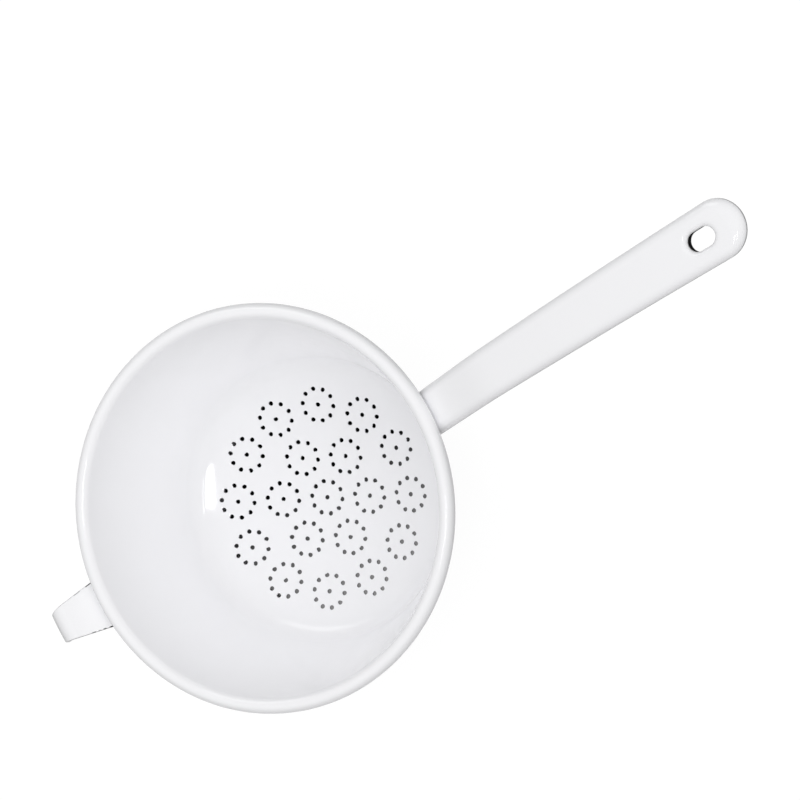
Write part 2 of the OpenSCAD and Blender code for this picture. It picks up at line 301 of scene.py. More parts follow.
class Build:
    """Collects points and faces, how dark and how dull each point is, and hidden faces. The darkness marks
    thin white and painted shade; hidden faces get the near-black material as painted shade.
    """

    def __init__(self):
        self.points = []
        self.bare = []
        self.dull = []
        self.faces = []
        self.inside = []

    def add(self, points, faces, bare=0.0, inside=False, dull=0.0):
        first = len(self.points)
        self.points.extend([tuple(float(c) for c in p) for p in points])
        self.bare.extend(list(bare) if hasattr(bare, "__len__") else [bare] * len(points))
        self.dull.extend(list(dull) if hasattr(dull, "__len__") else [dull] * len(points))
        self.faces.extend([tuple(first + i for i in f) for f in faces])
        self.inside.extend([inside] * len(faces))

    def piece(self, name, node, materials, merge=0.002):
        """Makes the piece that stands for a CAD node, as one closed smooth mesh."""
        mesh = bpy.data.meshes.new(name)
        mesh.from_pydata([[c * MM for c in p] for p in self.points], [], self.faces)
        for material in materials:
            mesh.materials.append(material)
        # Hidden faces and fully dark faces take the near-black material: painted shade inside the hollow
        # handle, and the ground coat at bare edges
        dark = [hidden or min(self.bare[i] for i in f) >= 1 for hidden, f in zip(self.inside, self.faces)]
        mesh.polygons.foreach_set("material_index", [int(d) for d in dark])
        for layer, values in (("bare", self.bare), ("dull", self.dull)):
            mesh.attributes.new(layer, "FLOAT", "POINT").data.foreach_set("value", values)
        work = bmesh.new()
        work.from_mesh(mesh)
        bmesh.ops.remove_doubles(work, verts=work.verts, dist=merge * MM)
        bmesh.ops.recalc_face_normals(work, faces=work.faces)
        work.to_mesh(mesh)
        work.free()
        mesh.shade_smooth()
        obj = put(name, mesh)
        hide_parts(node)
        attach(obj, BODY)
        return obj


# Triangles lower than this are left out, and points closer than this in a plan are joined
least_height = 0.001
joined = 1e-7


def triangle_height(corners):
    """Height over the longest side. It is nought where three points of a straight edge were joined."""
    a, b, c = (np.array([float(p[0]), float(p[1])]) for p in corners)
    double = abs((b[0] - a[0]) * (c[1] - a[1]) - (b[1] - a[1]) * (c[0] - a[0]))
    return double / max(np.hypot(*(b - a)), np.hypot(*(c - b)), np.hypot(*(a - c)), 1e-9)


def plan_triangles(points, outline, rings):
    """Triangles over a plan between its outline and the rings of its holes."""
    owner = [-1] * len(points)
    for k, ring in enumerate(rings):
        for i in ring:
            owner[i] = k
    flat = [Vector((p[0], p[1])) for p in points]
    # Type 1 makes only the triangles inside the outline
    made = delaunay_2d_cdt(flat, [], [list(outline)] + [list(r) for r in rings], 1, joined, True)
    origin = [ids[0] for ids in made[3]]
    triangles = []
    for face in made[2]:
        f = [origin[i] for i in face]
        in_hole = owner[f[0]] >= 0 and owner[f[0]] == owner[f[1]] == owner[f[2]]
        if not in_hole and triangle_height([points[i] for i in f]) > least_height:
            triangles.append(tuple(f))
    return triangles


# Bowl

def drain_places():
    """Middles of all drain holes: one rosette in the middle, six round it, twelve outside."""
    middles = [np.zeros(2)]
    middles += circle_points(6, rosette_step, pattern_turn + 30)
    middles += circle_points(12, 2 * rosette_step, pattern_turn)
    holes = [np.zeros(2)] + circle_points(rosette_holes, rosette_r, hole_turn)
    return [m + h for m in middles for h in holes]


def hole_section():
    """Rings of one drain hole: how far out of the hole's wall, how deep, how bare, how uneven."""
    border = hole_edge + hole_border
    rings = [(border, 0, 0, 0), (hole_edge, 0, 0, 0.3)]
    for t in (30, 60, 90):
        a = math.radians(t)
        rings.append((hole_edge * (1 - math.sin(a)), hole_edge * (1 - math.cos(a)), (t / 90) ** 3, 1))
    rings.append((0, sheet_t - hole_under_edge, 1, 1))
    for t in (45, 90):
        a = math.radians(t)
        out = hole_under_edge * (1 - math.cos(a))
        rings.append((out, sheet_t - hole_under_edge * (1 - math.sin(a)), 1, 0.5))
    return rings + [(border, sheet_t, 0, 0)]


def uneven_edge(chance, turns):
    """How far a drain hole's edge strays outward at each turn, as shares of the radius."""
    uneven = np.zeros(hole_count)
    for wave, size in hole_waves:
        size *= chance.uniform(wave_least, 1)
        uneven += size * np.cos(wave * turns - chance.uniform(0, 2 * math.pi))
    if chance.random() < drip_share:
        side = math.radians(chance.gauss(drip_side, drip_spread))
        away = np.abs((turns - side + math.pi) % (2 * math.pi) - math.pi)
        uneven -= chance.uniform(drip_least, drip_reach) * np.exp(-(away / drip_width) ** 2)
    return uneven


def floor_points(holes):
    """The floor's points between the drain holes, each row set off by half a step."""
    reach = hole_r + hole_edge + hole_border + floor_grid * floor_hole_clear
    steps = int(floor_edge_r / floor_grid) + 1
    centres = np.array(holes)
    points = []
    for j in range(-steps, steps + 1):
        for i in range(-steps, steps + 1):
            p = np.array([(i + 0.5 * (j % 2)) * floor_grid, j * floor_grid * floor_row])
            inside = np.hypot(*p) < floor_edge_r - floor_edge_clear
            if inside and np.min(np.hypot(*(centres - p).T)) > reach:
                points.append(p)
    return points


def build_floor(build):
    """The dished floor inside the corner, both faces, with its drain holes."""
    plan = circle_points(round_count, floor_edge_r, 0)
    rings = []
    holes = drain_places()
    section = hole_section()
    turns = np.arange(hole_count) * 2 * math.pi / hole_count
    chance = random.Random(hole_seed)
    hole_rows = []
    for middle in holes:
        uneven = uneven_edge(chance, turns)
        rows = []
        for out, _, _, share in section:
            r = hole_r * (1 + share * uneven) + out
            rows.append(np.stack([middle[0] + r * np.cos(turns), middle[1] + r * np.sin(turns)], -1))
        hole_rows.append(rows)
        rings.append(range(len(plan), len(plan) + hole_count))
        plan.extend(rows[0])
    plan += floor_points(holes)
    triangles = plan_triangles(plan, range(round_count), rings)
    build.add([(p[0], p[1], dish_z(np.hypot(*p))) for p in plan], triangles)
    under = [(p[0], p[1], dish_z(np.hypot(*p), dish_r + sheet_t)) for p in plan]
    build.add(under, [f[::-1] for f in triangles])
    for rows in hole_rows:
        points = []
        bare = []
        for row, (_, depth, level, _) in zip(rows, section):
            for p in row:
                r = np.hypot(*p)
                high = dish_z(r)
                low = dish_z(r, dish_r + sheet_t)
                points.append((p[0], p[1], high + (low - high) * depth / sheet_t))
                bare.append(level)
        build.add(points, ring_faces(len(section), hole_count), bare)


def build_wall(build):
    """The bowl outside its floor: corner, wall and rolled rim, with the sheet's thickness."""
    corner_turn = math.degrees(math.atan2(corner_dir[1], corner_dir[0]))
    curl_end = 180 - wall_draft + math.degrees(math.acos((bead_r - sheet_t - curl_gap) / bead_r)) - 360
    half = sheet_t / 2
    mid_r = bead_r - half
    stop = curl_end + math.degrees(half / mid_r)
    profile = arc(corner_c, corner_r, corner_turn, -wall_draft, steps=16)
    profile += line(wall_foot, wall_top, steps=30)
    profile += arc(bead_c, bead_r, 180 - wall_draft, stop, steps=72)
    # The curl's rounded end
    out = np.array([math.cos(math.radians(stop)), math.sin(math.radians(stop))])
    ahead = np.array([out[1], -out[0]])
    for t in np.radians([30, 60, 90, 120, 150]):
        profile.append(bead_c + mid_r * out + half * (math.cos(t) * out + math.sin(t) * ahead))
    inner_r = bead_r - sheet_t
    profile += arc(bead_c, inner_r, stop, 180 - wall_draft, steps=48)
    profile += line(bead_c + inner_r * wall_in, wall_foot - sheet_t * wall_in, steps=20)
    profile += arc(corner_c, corner_r + sheet_t, -wall_draft, corner_turn, steps=16)
    profile.append(np.array([floor_edge_r, dish_z(floor_edge_r, dish_r + sheet_t)]))
    # The wall is duller than the rest, but neither its foot nor its top edge
    dull = []
    for p in profile:
        dull.append(clamp((p[1] - wall_foot[1]) / dull_foot) * clamp((wall_top[1] - p[1]) / dull_top))
    build.add(revolve(profile), ring_faces(len(profile), round_count), dull=np.repeat(dull, round_count))


def make_bowl(materials):
    build = Build()
    build_floor(build)
    build_wall(build)
    build.piece("enamelled_bowl", "bowl", materials)


# Foot ring

def foot_profile():
    """Section of the foot ring: a flange under the floor, a wall and a hem folded inward."""
    hem_r = foot_r - 2 * sheet_t
    wall_r = foot_r - sheet_t
    hem_c = np.array([wall_r, sheet_t])
    bend_z = under_z(foot_r + foot_bend, sheet_t) - foot_bend
    flange_end = flange_r - foot_soft
    profile = arc(hem_c, sheet_t, -90, 0, steps=8)
    profile += line(np.array([foot_r, sheet_t]), np.array([foot_r, bend_z]), steps=6)
    profile += arc(np.array([foot_r + foot_bend, bend_z]), foot_bend, 180, 90, steps=6)
    reach = np.linspace(foot_r + foot_bend + sheet_t / 2, flange_end, 5)
    profile += [np.array([r, under_z(r, sheet_t)]) for r in reach]
    profile += arc(np.array([flange_end, under_z(flange_r, sheet_t) + foot_soft]), foot_soft, -70, 0, steps=3)
    profile += arc(np.array([flange_end, under_z(flange_r, 0) - foot_soft]), foot_soft, 0, 90, steps=3)
    profile += [np.array([r, under_z(r, 0)]) for r in np.linspace(flange_r - 1, wall_r, 7)]
    profile += line(np.array([wall_r, under_z(wall_r, 0)]), np.array([wall_r, foot_hem]), steps=6)
    profile += [np.array([wall_r, foot_hem])]
    profile += arc(np.array([hem_r + foot_soft, foot_hem - foot_soft]), foot_soft, 90, 180, steps=3)
    profile += line(np.array([hem_r, foot_hem - foot_soft]), np.array([hem_r, sheet_t]), steps=3)
    return profile + arc(hem_c, sheet_t, -180, -90, steps=8)[:-1]


def cut_foot_holes(foot):
    """Cuts the round drain holes into the foot ring's wall."""
    mesh = bpy.data.meshes.new("foot_hole_cutters")
    work = bmesh.new()
    hole_z = (foot_hem + under_z(foot_r - sheet_t, 0)) / 2
    lie = Matrix.Rotation(math.pi / 2, 4, "Y")
    for i in range(foot_holes):
        turn = Matrix.Rotation((i + 0.5) * 2 * math.pi / foot_holes, 4, "Z")
        bmesh.ops.create_cone(
            work, cap_ends=True, segments=48, radius1=foot_hole_r * MM, radius2=foot_hole_r * MM,
            depth=6 * sheet_t * MM, matrix=turn @ Matrix.Translation((foot_r * MM, 0, hole_z * MM)) @ lie)
    work.to_mesh(mesh)
    work.free()
    cutters = put("foot_hole_cutters", mesh)
    boolean = foot.modifiers.new("holes", "BOOLEAN")
    boolean.operation = "DIFFERENCE"
    boolean.object = cutters
    boolean.solver = "EXACT"
    graph = bpy.context.evaluated_depsgraph_get()
    mesh = bpy.data.meshes.new_from_object(foot.evaluated_get(graph))
    foot.modifiers.clear()
    foot.data = mesh
    bpy.data.objects.remove(cutters)


def make_foot(materials):
    profile = foot_profile()
    faces = ring_faces(len(profile), round_count)
    last = (len(profile) - 1) * round_count
    for i in range(round_count):
        n = (i + 1) % round_count
        faces.append((last + i, last + n, n, i))
    build = Build()
    build.add(revolve(profile), faces)
    cut_foot_holes(build.piece("foot_of_the_bowl", "foot_ring", materials))


# Handle: its middle line is straight at the neck, then bends down in two arcs

root_drop = bead_r + under_rim_gap + handle_root_t / 2
sin_neck, cos_neck = math.sin(math.radians(neck_rise)), math.cos(math.radians(neck_rise))
sin_grip, cos_grip = math.sin(math.radians(grip_rise)), math.cos(math.radians(grip_rise))
root_x = bead_c[0] + root_drop * sin_neck
root_z = bead_c[1] - root_drop * cos_neck
neck_x = rim_r + neck_run
neck_z = root_z + (neck_x - root_x) * sin_neck / cos_neck
grip_x = neck_x + neck_bend_r * (sin_neck - sin_grip)
grip_z = neck_z + neck_bend_r * (cos_grip - cos_neck)
grip_bend_r = (tip_x - grip_x) / (sin_grip - math.sin(math.radians(tip_rise)))
nose_r = handle_tip_w / 2
nose_x = tip_x - nose_r
side_lean = math.asin((handle_tip_w - handle_root_w) / 2 / (nose_x - root_x))
side_end = np.array([nose_x - nose_r * math.sin(side_lean), nose_r * math.cos(side_lean)])
slot_x = tip_x - slot_from_end - slot_l / 2
slot_straight = slot_l - slot_w


def spine_sin(x):
    """Sine of the rise of the handle's middle line at x."""
    if x < neck_x:
        return sin_neck
    if x < grip_x:
        return sin_neck - (x - neck_x) / neck_bend_r
    return sin_grip - (x - grip_x) / grip_bend_r


def off_spine(x, y, n):
    """The point that lies n square above the handle's middle line at x."""
    s = spine_sin(x)
    c = math.sqrt(1 - s * s)
    if x < neck_x:
        z = neck_z + (x - neck_x) * sin_neck / cos_neck
    elif x < grip_x:
        z = neck_z + neck_bend_r * (c - cos_neck)
    else:
        z = grip_z + grip_bend_r * (c - cos_grip)
    return (x - n * s, y, z + n * c)


def half_t(x):
    """Half of the handle's thickness at x."""
    share = clamp((x - root_x) / (nose_x - root_x))
    return (handle_root_t + (handle_tip_t - handle_root_t) * share) / 2


def side_y(x):
    """Distance of the handle's straight side from its middle line at x."""
    return side_end[1] - (side_end[0] - x) * math.tan(side_lean)


def root_of(y, n):
    """Where the line beside the middle line, y aside and n above, enters the bowl's wall."""
    x = rim_r
    for _ in range(root_rounds):
        p = off_spine(x, y, n)
        inside = math.sqrt((wall_out_r(p[2]) - weld_depth) ** 2 - y * y)
        x += (inside - p[0]) * root_pull
    return x


def root_row(widest, height, side, depth):
    """Points across the root from one side to the other, on one skin and without the two ends."""
    row = []
    for y in np.linspace(widest, -widest, root_count)[1:-1]:
        x = root_of(y, height)
        row.append((x, y, side * (half_t(x) - depth)))
    return row


def handle_outline():
    """The outline in plan from the root along one side, round the nose and back.

    Each entry is the share of the way from root to nose, x, y and the outward normal.
    """
    half = []
    for j in range(side_count):
        half.append((j / side_count, side_end[0], side_end[1], -math.sin(side_lean), math.cos(side_lean)))
    for a in np.linspace(math.pi / 2 + side_lean, 0, nose_count):
        half.append((1, nose_x + nose_r * math.cos(a), nose_r * math.sin(a), math.cos(a), math.sin(a)))
    return half + [(s, x, -y, nx, -ny) for s, x, y, nx, ny in reversed(half[:-1])]


def edge_steps(depth):
    """The rounded edge's section up to the face: shares of its width and of its height.

    The outer skin starts a little above the seam, where its groove ends.
    """
    angles = np.radians([0 if depth else 9, 16, 24, 32, 40, 48, 56, 63, 70, 76, 81, 85, 88, 90])
    return [(1 - math.cos(a), math.sin(a)) for a in angles]


def handle_band(depth, side):
    """Rows of points from the seam to the flat face, one column for each outline entry."""
    columns = []
    for share, x, y, nx, ny in handle_outline():
        width = edge_round + (nose_round - edge_round) * max(nx, 0) ** 2 - depth
        steps = [(depth + width * w, h) for w, h in edge_steps(depth)]
        if not depth:
            steps = seam_rows + steps
        column = []
        for inset, h in steps:
            px = x - inset * nx
            py = y - inset * ny
            if share < 1:
                for _ in range(band_rounds):
                    start = root_of(py, side * (half_t(px) - depth) * h)
                    px = start + (side_end[0] - inset * nx - start) * share
                    lean_y = side_y(px) - inset * ny
                    py = lean_y if y > 0 else -(lean_y + 2 * inset * ny)
            column.append((px, py, side * (half_t(px) - depth) * h))
        columns.append(column)
    return columns


def slot_outline(out):
    """Points of the hanging slot's outline, larger by out all round, about its middle."""
    r = slot_w / 2 + out
    half = slot_straight / 2
    points = []
    for a in np.radians(np.linspace(-90, 90, slot_end_count)):
        points.append((half + r * math.cos(a), r * math.sin(a)))
    for share in slot_side_shares:
        points.append((half - share * slot_straight, r))
    for a in np.radians(np.linspace(90, 270, slot_end_count)):
        points.append((-half + r * math.cos(a), r * math.sin(a)))
    for share in slot_side_shares:
        points.append((-half + share * slot_straight, -r))
    return points


def upper_slot_section():
    """Rings of the slot in the upper half: how far out, how deep, how dark. The sheet turns in."""
    border = slot_edge + slot_border
    drop = slot_lip_h - slot_lip_end
    rings = [(border, 0, 0)]
    # The rounding darkens as it turns down into the slot: painted shade at the hollow's mouth
    for t in (0, 15, 30, 45, 60, 70, 78, 84, 90):
        a = math.radians(t)
        rings.append((slot_edge * (1 - math.sin(a)), drop * (1 - math.cos(a)), 0.9 * (t / 90) ** 12))
    # The lip's end and its hidden inner side, near-black: a bare edge at the end, and painted shade of the
    # hollow handle on the inner side
    rings += [(0, slot_lip_h - 0.2, 1), (0.25, slot_lip_h, 1), (sheet_t - 0.2, slot_lip_h, 1)]
    return rings + [(sheet_t, slot_lip_h - 0.3, 1), (sheet_t + 0.4, sheet_t + 0.5, 1), (border, sheet_t, 1)]


def lower_slot_section():
    """Rings of the plain punched slot in the lower half, with a slightly rounded edge."""
    border = slot_edge + slot_border
    edge = slot_low_edge
    first = slot_clear + edge
    rings = [(border, 0, 0), (first, 0, 0), (first - edge * 0.7, edge * 0.3, 0.3), (slot_clear, edge, 1)]
    return rings + [(slot_clear, sheet_t - 0.1, 1), (slot_clear + 0.1, sheet_t, 1), (border, sheet_t, 1)]


def face_grid(first_x, taken):
    """Points over a flat face from first_x to the nose, clear of the slot and of the points taken."""
    guard = np.array([[float(p[0]), float(p[1])] for p in taken])
    slot_end = slot_l / 2 + slot_edge + face_slot_clear[0]
    slot_side = slot_w / 2 + slot_edge + face_slot_clear[1]
    points = []
    for x in np.arange(first_x, tip_x - nose_round, face_step):
        widest = side_y(x) - edge_round
        if x > nose_x:
            widest = max(nose_r - nose_round, 0) * face_share
        for y in np.linspace(-1, 1, face_across):
            p = np.array([x, y * widest * face_share])
            if abs(p[0] - slot_x) < slot_end and abs(p[1]) < slot_side:
                continue
            if np.min(np.hypot(*(guard - p).T)) > face_clear:
                points.append(p)
    return points


def build_face(build, side, skin, border):
    """One skin's flat face, inside the last row of its band and round the slot."""
    depth = skin * sheet_t
    root = root_row(-border[0][1], side * (half_t(root_x) - depth), side, depth)
    plan = [(p[0], p[1]) for p in border + root]
    outline = range(len(plan))
    rim = slot_outline(slot_edge + slot_border)
    ring = range(len(plan), len(plan) + len(rim))
    plan += [(slot_x + x, y) for x, y in rim]
    # A row close inside the border keeps the smooth shading even along it
    for (x, y, _), (_, _, _, nx, ny) in list(zip(border, handle_outline()))[2:-2]:
        plan.append(np.array([x - face_border * nx, y - face_border * ny]))
    plan += face_grid(root[len(root) // 2][0] + face_root_clear, plan)
    triangles = plan_triangles(plan, outline, [ring])
    points = [off_spine(p[0], p[1], side * (half_t(p[0]) - depth)) for p in plan]
    # The inner skin's face lies in the hollow and is painted near-black as its shade
    build.add(points, triangles, bare=float(skin), inside=skin == 1)


def build_slot(build, side, section):
    """The slot's edge through one half, ring by ring."""
    points = []
    bare = []
    for out, depth, level in section:
        for x, y in slot_outline(out):
            points.append(off_spine(slot_x + x, y, side * (half_t(slot_x + x) - depth)))
            bare.append(level)
    build.add(points, ring_faces(len(section), len(points) // len(section)), bare)


def build_root(build, side, bands):
    """The strip that closes the sheet at the root, between the outer and the inner skin."""
    ends = []
    for skin, band in enumerate(bands):
        depth = skin * sheet_t
        middle = root_row(band[0][-1][1], side * (half_t(root_x) - depth), side, depth)
        ends.append(list(band[0]) + middle + list(reversed(band[-1])))
    first, second = len(ends[0]), len(ends[1])
    # The outer skin has more points, so the surplus ones at each end share the inner skin's last
    surplus = (first - second) // 2
    faces = []
    for i in range(first - 1):
        a = min(max(i - surplus, 0), second - 1)
        b = min(max(i + 1 - surplus, 0), second - 1)
        face = (i, i + 1, first + b, first + a)
        faces.append(face[:3] if a == b else face)
    build.add([off_spine(*p) for end in ends for p in end], faces, inside=True)


def build_half(build, side, section):
    """One pressed half of the handle: rounded band, flat face, seam, root and slot."""
    bands = [handle_band(0, side), handle_band(sheet_t, side)]
    count = len(bands[0])
    for skin, band in enumerate(bands):
        rows = len(band[0])
        faces = ring_faces(count, rows, closed=False)
        bare = (seam_darkness + [0.0] * (rows - len(seam_darkness))) * count
        # The inner skin lies in the hollow and is painted near-black as its shade
        if skin:
            faces = [f[::-1] for f in faces]
            bare = 1.0
        build.add([off_spine(*p) for column in band for p in column], faces, bare, inside=skin == 1)
    seam = [off_spine(*column[0]) for band in bands for column in band]
    build.add(seam, ring_faces(2, count, closed=False), inside=True)
    for skin, band in enumerate(bands):
        build_face(build, side, skin, [column[-1] for column in band])
    build_slot(build, side, section)
    build_root(build, side, bands)


def make_handle(materials):
    for name, node, side, section in (
            ("handle_top", "handle_upper_shell", 1, upper_slot_section()),
            ("handle_underside", "handle_lower_shell", -1, lower_slot_section())):
        build = Build()
        build_half(build, side, section)
        build.piece(name, node, materials, merge=0.01)


# Pot hook

def hook_path():
    """Middle line of the hook's strap in section: tab, bend, rising run, bend and leg."""
    half = hook_t / 2
    rise = math.radians(hook_rise)
    out = np.array([math.cos(rise), math.sin(rise)])
    up = np.array([-out[1], out[0]])
    near = bead_c - (bead_r + under_rim_gap) * up
    root_r = hook_root_r + hook_t
    root_near = near - root_r * up
    wall_gap = (wall_top - sheet_t * wall_in - root_near) @ wall_in
    root_c = root_near + (wall_gap - root_r) / (out @ wall_in) * out
    bend_x = hook_out - hook_bend_r
    bend_z = near[1] + (bend_x - near[0]) * math.tan(rise) - hook_bend_r / math.cos(rise)
    bend_c = np.array([bend_x, bend_z])
    tab_top = root_c + (root_r - half) * wall_in
    tab_end = tab_top + hook_tab_h * wall_down
    leg_top = bend_c + np.array([hook_bend_r - half, 0])
    leg_end = leg_top - np.array([0, hook_leg])
    path = [tab_end] + line(tab_end, tab_top, steps=24)
    path += arc(root_c, root_r - half, 180 - wall_draft, 90 + hook_rise, steps=16)
    path += line(root_c + (root_r - half) * up, bend_c + (hook_bend_r - half) * up, steps=40)
    path += arc(bend_c, hook_bend_r - half, 90 + hook_rise, 0, steps=32)
    return np.array(path + line(leg_top, leg_end, steps=14) + [leg_end])


def hook_width(r):
    """Width of the strap at radius r from the bowl's axis."""
    return hook_root_w + (hook_end_w - hook_root_w) * clamp((r - rim_r) / (hook_out - rim_r))


def strap_ring(wide, thick, soft):
    """The strap's cross-section with rounded edges: points across and square to the strap."""
    corners = []
    for sy, sn, first in ((1, 1, 0), (-1, 1, 90), (-1, -1, 180), (1, -1, 270)):
        for a in np.radians(first + np.linspace(0, 90, hook_edge_count)):
            y = sy * (wide / 2 - soft) + soft * math.cos(a)
            corners.append((y, sn * (thick - min(soft, thick)) + min(soft, thick) * math.sin(a)))
    ring = []
    for i, (y, n) in enumerate(corners):
        ring.append((y, n))
        if (i + 1) % hook_edge_count == 0:
            after = corners[(i + 1) % len(corners)]
            steps = hook_across if abs(after[0] - y) > abs(after[1] - n) else hook_through
            for k in range(1, steps):
                ring.append((y + (after[0] - y) * k / steps, n + (after[1] - n) * k / steps))
    return ring


def hook_darkness(r, y, turn, wide):
    """How dark the strap is: thin white along its edges, darkened further as painted shade for their outline,
    painted shade on the outer bend, and chips beside the rim that also paint the shade where the strap meets
    it.

    The turn is the direction of the strap's path, down being -90.
    """
    chipped_and_shaded = 0.0
    for place, length, level in upper_chips_and_shade if y > 0 else lower_chips_and_shade:
        chipped_and_shaded = max(chipped_and_shaded, level * clamp((length - abs(r - rim_r - place)) / chip_fade))
    from_edge = wide / 2 - abs(y)
    edge = clamp((dark_edge_width + chip_reach * chipped_and_shaded - from_edge) / dark_edge_fade)
    bend = bend_painted_shade * max(1 - abs(turn - bend_shade_turn) / bend_shade_spread, 0)
    return max(edge * max(dark_edge_level, chipped_and_shaded), bend)


def make_hook(materials):
    """One strap, pressed to the bowl's roundness and narrowing outward, with a round-ended leg."""
    path = hook_path()
    half = hook_t / 2
    soft = hook_edge_share * half
    lengths = np.concatenate([[0], np.cumsum(np.hypot(*np.diff(path, axis=0).T))])
    whole = lengths[-1]
    leg_r = hook_width(hook_out - hook_t) / 2
    ends = list(np.geomspace(hook_first, hook_corner_r, hook_corner_count))
    leg_ends = list(np.geomspace(hook_first, leg_r, hook_end_count))
    stations = sorted([0.0] + ends + list(lengths[1:-1]) + [whole - s for s in leg_ends] + [whole])
    stations = [s for i, s in enumerate(stations) if i == 0 or s - stations[i - 1] > hook_least]
    points = []
    bare = []
    for s in stations:
        r, z = (np.interp(s, lengths, path[:, k]) for k in (0, 1))
        ahead = np.array([np.interp(s + hook_reach, lengths, path[:, k]) for k in (0, 1)])
        ahead -= np.array([np.interp(s - hook_reach, lengths, path[:, k]) for k in (0, 1)])
        ahead /= np.linalg.norm(ahead)
        turn = math.degrees(math.atan2(ahead[1], ahead[0]))
        wide = hook_width(r)
        end = min(s, whole - s)
        corner = hook_corner_r if s < whole / 2 else leg_r
        if end < corner:
            wide = min(wide, hook_width(r) - 2 * (corner - math.sqrt(corner ** 2 - (corner - end) ** 2)))
        thick = half
        if end < soft:
            thick = half - soft + math.sqrt(soft ** 2 - (soft - end) ** 2)
        for y, n in strap_ring(max(wide, 2 * soft), thick, soft):
            pr = r - n * ahead[1]
            points.append((-math.sqrt(pr ** 2 - y ** 2), y, z + n * ahead[0]))
            bare.append(hook_darkness(r, y, turn, wide))
    count = len(points) // len(stations)
    last = len(points) - count
    faces = ring_faces(len(stations), count)
    faces += [tuple(range(count)), tuple(range(last, last + count))]
    build = Build()
    build.add(points, faces, bare)
    build.piece("hook_strap", "pot_hook", materials, merge=0.0005)


# Materials

white_colour = (0.94, 0.94, 0.957)
# Dark of the ground coat, which also paints shade on the seam, the hook's edges and its bend
ground_and_shade_colour = (0.012, 0.012, 0.014)
# Near-black of bare edges, which also paints the shade inside the hollow handle
ground_and_hollow_shade_colour = (0.008, 0.008, 0.009)
enamel_ior = 1.5
# Soft clouds in the enamel: their darkest shade and their least and most roughness, as shares
cloud_scale = 45
cloud_detail = 3
cloud_shade = 0.985
cloud_rough = (0.8, 1.2)
# Added to the roughness where the enamel is dull
dull_roughness = 0.07
# Faint waves in the surface, with their height in metres
wave_scale = 90
wave_detail = 1
wave_strength = 0.06
wave_height = 0.001


def add_node(tree, kind, inputs=None, **settings):
    """A shader node with these settings and then these values on its inputs."""
    node = tree.nodes.new(kind)
    for name, value in settings.items():
        setattr(node, name, value)
    for name, value in (inputs or {}).items():
        node.inputs[name].default_value = value
    return node


def math_node(tree, operation, value=None):
    """A Math node, with its second input set where a value is given."""
    return add_node(tree, "ShaderNodeMath", None if value is None else {1: value}, operation=operation)


def colour_mix(tree, inputs):
    """A node that mixes colours A and B by its Factor."""
    return add_node(tree, "ShaderNodeMix", inputs, data_type="RGBA")


def enamel(name, colour, ground_and_shade, roughness, shine):
    """Glossy enamel with faint waves, over a dark ground coat that shows where the white is thin, and that
    also paints shade where the darkness attribute marks it.
    """
    material = bpy.data.materials.new(name)
    material.use_nodes = True
    tree = material.node_tree
    surface = tree.nodes["Principled BSDF"]
    surface.inputs["IOR"].default_value = enamel_ior
    surface.inputs["Specular IOR Level"].default_value = shine
    place = add_node(tree, "ShaderNodeTexCoord")
    cloud = add_node(tree, "ShaderNodeTexNoise", {"Scale": cloud_scale, "Detail": cloud_detail})
    shade = colour_mix(tree, {"A": (*[c * cloud_shade for c in colour], 1), "B": (*colour, 1)})
    darkness_attribute = add_node(tree, "ShaderNodeAttribute", attribute_name="bare")
    cover = colour_mix(tree, {"B": (*ground_and_shade, 1)})
    least, most = (roughness * share for share in cloud_rough)
    gloss = add_node(tree, "ShaderNodeMapRange", {"To Min": least, "To Max": most})
    worn = add_node(tree, "ShaderNodeAttribute", attribute_name="dull")
    rough = math_node(tree, "MULTIPLY_ADD", dull_roughness)
    wave = add_node(tree, "ShaderNodeTexNoise", {"Scale": wave_scale, "Detail": wave_detail})
    bump = add_node(tree, "ShaderNodeBump", {"Strength": wave_strength, "Distance": wave_height})
    link = tree.links.new
    link(place.outputs["Object"], cloud.inputs["Vector"])
    link(place.outputs["Object"], wave.inputs["Vector"])
    link(cloud.outputs["Fac"], shade.inputs["Factor"])
    link(shade.outputs["Result"], cover.inputs["A"])
    link(darkness_attribute.outputs["Fac"], cover.inputs["Factor"])
    link(cover.outputs["Result"], surface.inputs["Base Color"])
    link(cloud.outputs["Fac"], gloss.inputs["Value"])
    link(worn.outputs["Fac"], rough.inputs[0])
    link(gloss.outputs["Result"], rough.inputs[2])
    link(rough.outputs[0], surface.inputs["Roughness"])
    link(wave.outputs["Fac"], bump.inputs["Height"])
    link(bump.outputs["Normal"], surface.inputs["Normal"])
    return material


def seen_directly(tree):
    """One where a camera, glossy or transmission ray looks, and nought for the light on the object."""
    path = add_node(tree, "ShaderNodeLightPath")
    total = math_node(tree, "ADD")
    more = math_node(tree, "ADD")
    more.use_clamp = True
    tree.links.new(path.outputs["Is Camera Ray"], total.inputs[0])
    tree.links.new(path.outputs["Is Glossy Ray"], total.inputs[1])
    tree.links.new(total.outputs[0], more.inputs[0])
    tree.links.new(path.outputs["Is Transmission Ray"], more.inputs[1])
    return more.outputs[0]


# Stage, with its sizes in metres

floor_half = 6.0
floor_shade = 0.12
floor_glow = 0.92
# Painted shadow: the floor inside the foot ring is nearly black, up to an edge this wide
under_foot_painted_shadow = 0.02
foot_fade = 0.002
# Painted light under the bowl, seen through the drain holes: a glow that grows from one side to the other in
# place of light leaking under the bowl
painted_glow_dark_y = 0.012
painted_glow_bright_y = -0.052
under_bowl_painted_glow = 0.24
# The sky's light on the object: its peak, and shares of that at each tilt from straight up
sky_peak = 1.81
sky_shares = ((0, 0.11), (20, 0.6), (40, 1.0), (60, 0.66), (80, 0.0))
# The share by which it is brighter towards each axis
sky_side = (0.36, -0.3, -0.19)


